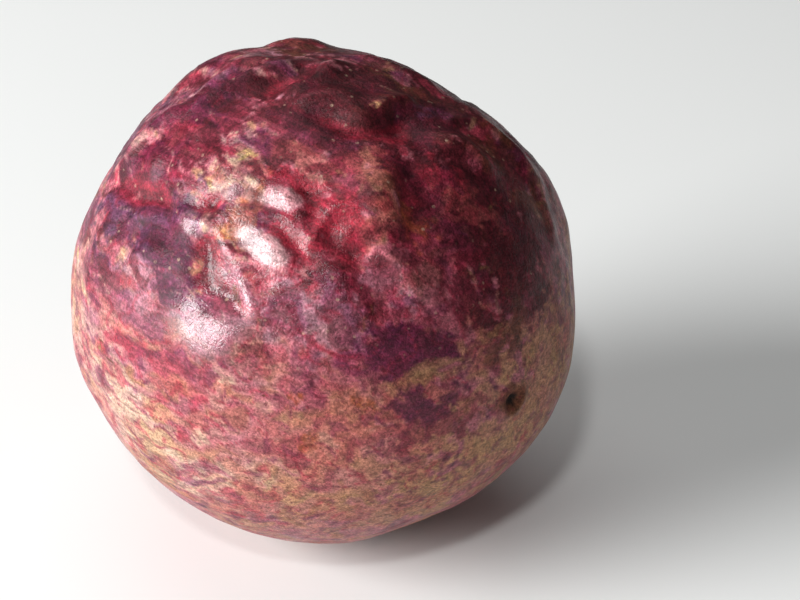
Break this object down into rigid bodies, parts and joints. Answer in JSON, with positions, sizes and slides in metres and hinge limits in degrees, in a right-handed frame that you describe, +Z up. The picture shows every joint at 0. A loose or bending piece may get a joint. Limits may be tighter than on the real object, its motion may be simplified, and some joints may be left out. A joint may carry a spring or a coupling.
{
  "type": "passion fruit",
  "caption": "Whole ripe purple passion fruit, nearly round, with dried crumpled folds over its top and a small flat spot that it rests on.",
  "frame": {"origin": "middle of the bounding box at the bottom, on the surface the fruit rests on", "axes": "+Z up, -Y towards the viewer of the folded face, +X to that viewer's right"},
  "size_m": [0.055, 0.0548, 0.0546],
  "materials": {
    "rind": "waxy satin, mottled dark purple, crimson and cream"
  },
  "bodies": {
    "root": {"passion_fruit": "rind"}
  },
  "joints": []
}
